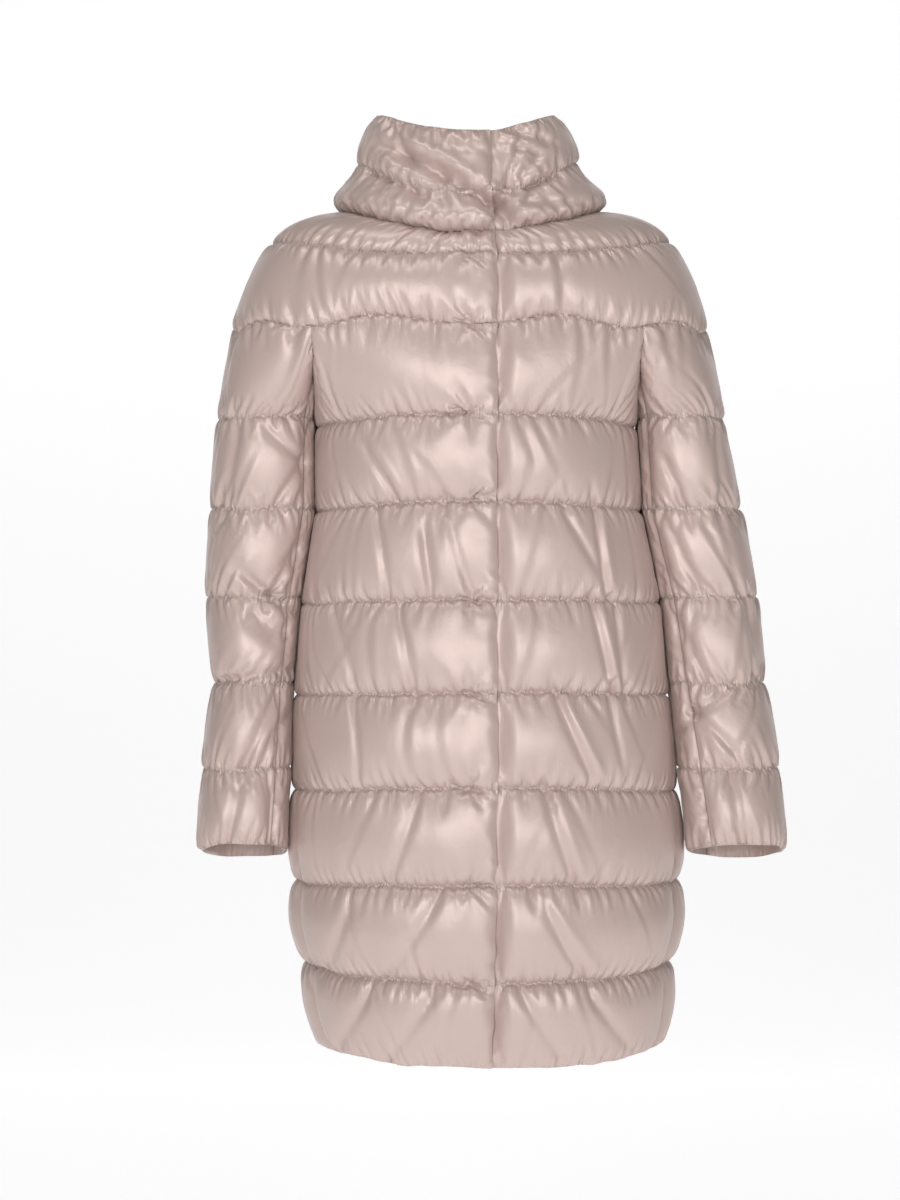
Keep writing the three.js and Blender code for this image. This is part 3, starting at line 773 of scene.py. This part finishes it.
def back_sheet():
    steps = armhole_run("left", ARMHOLE_STOPS[4:], -1)
    steps += line_run(shoulder_angle("left"), shoulder_angle("right"), 2 * FRONT_STEPS)
    steps += armhole_run("right", ARMHOLE_STOPS[:3:-1], -1)

    def angle(line, shares):
        return lerp(np.radians(SIDE_SEAM[line]), np.radians(360 - SIDE_SEAM[line]), shares)

    return Sheet(
        [along(steps)] + [lambda s, line=line: ring_at(line, angle(line, s)) for line in BODY_LINES],
        len(steps),
        lambda i, s: body_puff(FRONT_LINES[i], angle(BODY_LINES[max(i - 1, 0)], s)),
        [BAFFLES[n][3] for n in FRONT_LINES[:-1]],
        dips=(0.6, 0.6),
    )


def sleeve_sheet(side_name, part):
    front_top = angle_at("line2", ARMHOLES[side_name]["front"])
    back_top = np.sign(front_top) * np.pi - front_top
    if part == "upper":
        steps = armhole_run(side_name, ARMHOLE_STOPS[2::-1], 1)
        steps += line_run(front_top, back_top, 2 * SHOULDER_STEPS)
        steps += armhole_run(side_name, ARMHOLE_STOPS[:5:-1], 1)
    else:
        steps = armhole_run(side_name, ARMHOLE_STOPS[6:1:-1], 1)
    rings = SLEEVES[side_name]

    def angle(index, shares):
        seam = np.radians(rings[index][-1])
        return lerp(seam, -seam, shares) if part == "upper" else lerp(2 * np.pi - seam, seam, shares)

    def puff(i, shares):
        around = angle(max(i - 1, 0), shares)
        facing = np.cos(around)
        flat = np.where(facing > 0, SLEEVE_PUFF["outside"], SLEEVE_PUFF["inside"])
        squeeze = UNDERARM_SQUEEZE * np.sin(shares * np.pi) if i == 0 and part == "under" else 0
        return lerp(SLEEVE_PUFF["front"], flat, facing**2) * (1 - squeeze)

    return Sheet(
        [along(steps)] + [lambda s, i=i: sleeve_at(side_name, i, angle(i, s)) for i in range(len(rings))],
        len(steps),
        puff,
        [1.1] * len(rings),
        dips=(0.85, 0.85),
    )


def collar_sheet():
    def angle(line, shares):
        return lerp(angle_at(line, PLACKET_SEAM_X), 2 * np.pi + angle_at(line, RINGS[line]["edge"]), shares)

    def x_and_angle(shares):
        around = angle("collar", shares)
        return ring_at("collar", around)[0][..., 0], around

    def lift(shares):
        x, around = x_and_angle(shares)
        return np.where((np.cos(around) > 0) & (around > np.pi), rise(x), 0)

    def puff(i, shares):
        x, around = x_and_angle(shares)
        starting = np.where(around < np.pi / 2, opening_factor("left", x), 1)
        from_edge = (1 - shares) * 2 * np.pi * COLLAR_RADIUS
        return body_puff(("rim", "collar")[i], around) * starting * lerp(0.12, 1, rounding(from_edge))

    return Sheet(
        [
            lambda s: ring_at("rim", angle("rim", s)),
            lambda s: ring_at("collar", angle("collar", s)),
            lambda s: ring_at("neck", angle("neck", s), COLLAR_FOOT_LIFT),
        ],
        36,
        puff,
        [BAFFLES["rim"][3], BAFFLES["collar"][3]],
        lift=lift,
    )


# ---------------------------------------------------------------- materials
def node(tree, kind, inputs=None, **settings):
    made = tree.nodes.new(kind)
    for key, value in settings.items():
        setattr(made, key, value)
    for key, value in (inputs or {}).items():
        if isinstance(value, bpy.types.NodeSocket):
            tree.links.new(value, made.inputs[key])
        else:
            made.inputs[key].default_value = value
    return made


def maths(tree, operation, a, b=0.0):
    return node(tree, "ShaderNodeMath", {0: a, 1: b}, operation=operation).outputs[0]


def noise(tree, place, scale, detail, **more):
    inputs = {"Vector": place, "Scale": scale, "Detail": detail}
    inputs.update(more)
    return node(tree, "ShaderNodeTexNoise", inputs).outputs["Fac"]


def mix(tree, share, first, second):
    return node(tree, "ShaderNodeMix", {0: share, 6: first, 7: second}, data_type="RGBA").outputs[2]


def beside(tree, distance, reach):
    """One at a line, dying away over reach millimetres from it."""
    return maths(tree, "EXPONENT", maths(tree, "DIVIDE", distance, -reach))


def attribute(tree, name):
    return node(tree, "ShaderNodeAttribute", attribute_name=name).outputs["Fac"]


CLOTH_COLOURS = ((0.520, 0.402, 0.362, 1), (0.580, 0.454, 0.412, 1))
# painted shade: the colour that darkens the groove of each quilting line
GROOVE_SHADE_COLOUR = (0.24, 0.165, 0.135, 1)
THREAD_COLOUR = (0.60, 0.50, 0.46, 1)
# painted shade: the colour that darkens the hollow where two panels are sewn edge to edge
JOINT_SHADE_COLOUR = (0.13, 0.085, 0.07, 1)
STITCH = 3.2
STITCH_SHARE = 0.7  # of it that is thread
THREAD_HALF = 0.8
PUCKER_REACH = 7.5
WEAVE_SCALE = 420.0


def satin_cloth():
    material = bpy.data.materials.new("satin_shell")
    material.use_nodes = True
    tree = material.node_tree
    shader = tree.nodes["Principled BSDF"]
    seam, run_mm, side = (attribute(tree, name) for name in ("seam", "along", "side"))
    place = node(tree, "ShaderNodeTexCoord").outputs["Object"]
    # The stitches: a dash of thread along each quilting line, with a gap where the needle goes in.
    dash = maths(tree, "LESS_THAN", maths(tree, "FRACT", maths(tree, "DIVIDE", run_mm, STITCH)), STITCH_SHARE)
    thread = maths(tree, "MULTIPLY", dash, maths(tree, "LESS_THAN", seam, THREAD_HALF))
    # Fine puckers stand beside a quilting line, long and narrow across it.
    stretched = {"X": maths(tree, "MULTIPLY", run_mm, 0.26), "Y": maths(tree, "MULTIPLY", seam, 0.03)}
    pucker_at = node(tree, "ShaderNodeCombineXYZ", stretched).outputs[0]
    pucker = maths(tree, "SUBTRACT", noise(tree, pucker_at, 1.0, 2.5, Distortion=0.5), 0.5)
    puckers = maths(tree, "MULTIPLY", pucker, beside(tree, seam, PUCKER_REACH))
    crinkle = noise(tree, place, 60.0, 3.0, Roughness=0.55, Distortion=0.6)
    bands = {"Vector": place, "Scale": WEAVE_SCALE}
    warp, weft = (node(tree, "ShaderNodeTexWave", bands, bands_direction=way).outputs["Fac"] for way in "ZX")
    height = maths(tree, "ADD", maths(tree, "MULTIPLY", puckers, 2.8), maths(tree, "MULTIPLY", crinkle, 0.3))
    height = maths(tree, "ADD", height, maths(tree, "MULTIPLY", thread, 0.25))
    bump = node(tree, "ShaderNodeBump", {"Height": height, "Strength": 0.8, "Distance": 0.0016}).outputs[0]
    weave = {"Height": maths(tree, "ADD", warp, weft), "Strength": 0.12, "Distance": 0.0001, "Normal": bump}
    tree.links.new(node(tree, "ShaderNodeBump", weave).outputs[0], shader.inputs["Normal"])
    # The colour shifts a little from place to place, and has painted shade in the stitching's groove and,
    # more, where two panels are sewn edge to edge, for the shade that falls in these hollows.
    shade = mix(tree, noise(tree, place, 9.0, 2.0), *CLOTH_COLOURS)
    # painted shade in the groove of the quilting lines
    shade = mix(tree, maths(tree, "MULTIPLY", beside(tree, seam, 1.3), 0.12), shade, GROOVE_SHADE_COLOUR)
    shade = mix(tree, maths(tree, "MULTIPLY", thread, 0.75), shade, THREAD_COLOUR)
    # painted shade in the hollow where two panels are sewn edge to edge
    shade = mix(tree, maths(tree, "MULTIPLY", beside(tree, side, 1.1), 0.85), shade, JOINT_SHADE_COLOUR)
    tree.links.new(shade, shader.inputs["Base Color"])
    gloss = node(tree, "ShaderNodeMapRange", {"Value": crinkle, "To Min": 0.35, "To Max": 0.45})
    tree.links.new(gloss.outputs[0], shader.inputs["Roughness"])
    shader.inputs["Specular IOR Level"].default_value = 0.6
    shader.inputs["Metallic"].default_value = 0.17
    shader.inputs["Sheen Weight"].default_value = 0.25
    shader.inputs["Sheen Roughness"].default_value = 0.35
    shader.inputs["Sheen Tint"].default_value = (1.0, 0.93, 0.9, 1)
    shader.inputs["Anisotropic"].default_value = 0.3
    return material


def plain(name, colour, glow):
    material = bpy.data.materials.new(name)
    material.use_nodes = True
    shader = material.node_tree.nodes["Principled BSDF"]
    shader.inputs["Base Color"].default_value = colour
    shader.inputs["Roughness"].default_value = 0.9
    shader.inputs["Emission Color"].default_value = (1, 1, 1, 1)
    shader.inputs["Emission Strength"].default_value = glow
    return material


cloth = satin_cloth()

# ---------------------------------------------------------------- build the coat
quilt_lines = [n for n in RINGS if n.startswith("line")]
star_points = [(STAR_X, float(ring_at(n, angle_at(n, STAR_X))[0][2])) for n in quilt_lines]
RUFFLE_SEED = 8000  # one for both lengths of the flap, so that its edge runs on

collar = collar_sheet()
fold_both(collar, COLLAR_FOLDS)
crease(collar, 1, slant=0.5, height=2.2, length=26)
relax(collar, gather=0.14, pressure=0.015)
fold_both(collar, COLLAR_FOLDS, share=0.8)
finish_piece("collar", collar)

# The flap is a strip of the same cloth as the front beside it, so each pair is relaxed as one sheet.
yoke_right = yoke_front_sheet("right")
upper = flap_sheet(YOKE_LINES, yoke_right).joined(yoke_right)
crease(upper, 2, centre=0, edges=(1.5, 1))
star(upper, star_points[:2])
relax(upper)
ruffle(upper, RUFFLE_SEED)
body_right = front_sheet("right")
lower = flap_sheet(FRONT_LINES, body_right).joined(body_right)
fold(lower, FRONT_FOLDS)
crease(lower, 3, centre=0, edges=(1.5, 1.2))
star(lower, star_points[1:])
relax(lower)
fold(lower, FRONT_FOLDS, share=0.5)
ruffle(lower, RUFFLE_SEED)
finish_piece("yoke_front_right", upper, slice(upper.joint, None))
finish_piece("front_right", lower, slice(lower.joint, None))
finish_piece("placket_flap", lower, slice(0, lower.joint + 1), above=upper)

for number, (name, make, centre) in enumerate(
    (
        ("yoke_front_left", lambda: yoke_front_sheet("left"), 0),
        ("front_left", lambda: front_sheet("left"), 0),
        ("yoke_back", yoke_back_sheet, None),
        ("back", back_sheet, None),
    )
):
    sheet = make()
    face = 1 if "back" in name else -1
    fold(sheet, FRONT_FOLDS, face=face, flip=-face)
    crease(sheet, 4 + number, centre=centre, edges=(0, 1.2) if "left" in name else (1.2, 1.2))
    relax(sheet)
    fold(sheet, FRONT_FOLDS, face=face, flip=-face, share=0.5)
    finish_piece(name, sheet)

for number, side_name in enumerate(ARMHOLES):
    for part, edge in (("upper", 0.6), ("under", 1.4)):
        sheet = sleeve_sheet(side_name, part)
        fold_both(sheet, SLEEVE_FOLDS)
        crease(sheet, 8 + 2 * number + (part == "under"), height=2.4, length=26, edges=(edge, edge))
        relax(sheet, gather=0.15, pressure=0.006)
        fold_both(sheet, SLEEVE_FOLDS, share=0.5)
        finish_piece(f"sleeve_{side_name}_{part}", sheet)

# ---------------------------------------------------------------- floor, light and camera
FLOOR_Z = -1.45
FLOOR_HALF_WIDTH = 7.0
FLOOR_FRONT_Y, WALL_Y = -6.0, 5.6
WALL_HEIGHT = 6.5
BEND_RADIUS = 2.0
LIGHTS = (
    # name, place, what it points at, width and height, watts
    ("key", (-0.75, -3.0, 0.1), (0, 0, -0.3), (0.7, 1.2), 32),
    ("fill", (0.85, -3.0, 0.0), (0, 0, -0.3), (0.7, 1.2), 23),
    ("top", (-0.25, -0.85, 1.6), (0, 0, -0.1), (1.3, 0.5), 11),
    ("low", (0.0, -2.2, -1.38), (0, 0, -0.5), (2.4, 0.9), 3),
)
CAMERA_X, CAMERA_Z = -0.026, -0.397
CAMERA_AWAY = 3.3
VIEW_HEIGHT = 1.26
SENSOR_MM = 36


def backdrop():
    """A floor that curves up into a wall behind the coat."""
    turns = np.linspace(0, np.pi / 2, 17)
    depth = [FLOOR_FRONT_Y, *(WALL_Y - BEND_RADIUS + BEND_RADIUS * np.sin(turns)), WALL_Y]
    height = [0.0, *(BEND_RADIUS - BEND_RADIUS * np.cos(turns)), WALL_HEIGHT]
    sides = (-FLOOR_HALF_WIDTH, FLOOR_HALF_WIDTH)
    points = [(x, y, FLOOR_Z + z) for y, z in zip(depth, height) for x in sides]
    faces = [(2 * i, 2 * i + 1, 2 * i + 3, 2 * i + 2) for i in range(len(depth) - 1)]
    mesh = bpy.data.meshes.new("studio_floor")
    mesh.from_pydata(points, [], faces)
    mesh.polygons.foreach_set("use_smooth", [True] * len(faces))
    mesh.materials.append(plain("studio_paper", (0.6, 0.585, 0.6, 1), 0.73))
    floor = bpy.data.objects.new("studio_floor", mesh)
    bpy.context.collection.objects.link(floor)


def area_light(name, place, target, size, power_watts):
    data = bpy.data.lights.new(name, "AREA")
    data.shape = "RECTANGLE"
    data.size, data.size_y = size
    data.energy = power_watts
    lamp = bpy.data.objects.new(name, data)
    bpy.context.collection.objects.link(lamp)
    lamp.location = place
    way = np.array(target) - np.array(place)
    lamp.rotation_euler = Vector(way).to_track_quat("-Z", "Y").to_euler()


backdrop()
bpy.context.scene.view_settings.view_transform = "Standard"
for light in LIGHTS:
    area_light(*light)
world = bpy.data.worlds.new("studio_air")
world.use_nodes = True
background = world.node_tree.nodes["Background"]
background.inputs["Color"].default_value = (1.0, 0.985, 0.99, 1)
background.inputs["Strength"].default_value = 0.1
bpy.context.scene.world = world

camera_data = bpy.data.cameras.new("camera")
camera_data.sensor_fit = "VERTICAL"
camera_data.sensor_height = SENSOR_MM
camera_data.lens = CAMERA_AWAY * SENSOR_MM / VIEW_HEIGHT
camera = bpy.data.objects.new("camera", camera_data)
bpy.context.collection.objects.link(camera)
camera.location = (CAMERA_X, -CAMERA_AWAY, CAMERA_Z)
camera.rotation_euler = (np.pi / 2, 0, 0)
bpy.context.scene.camera = camera
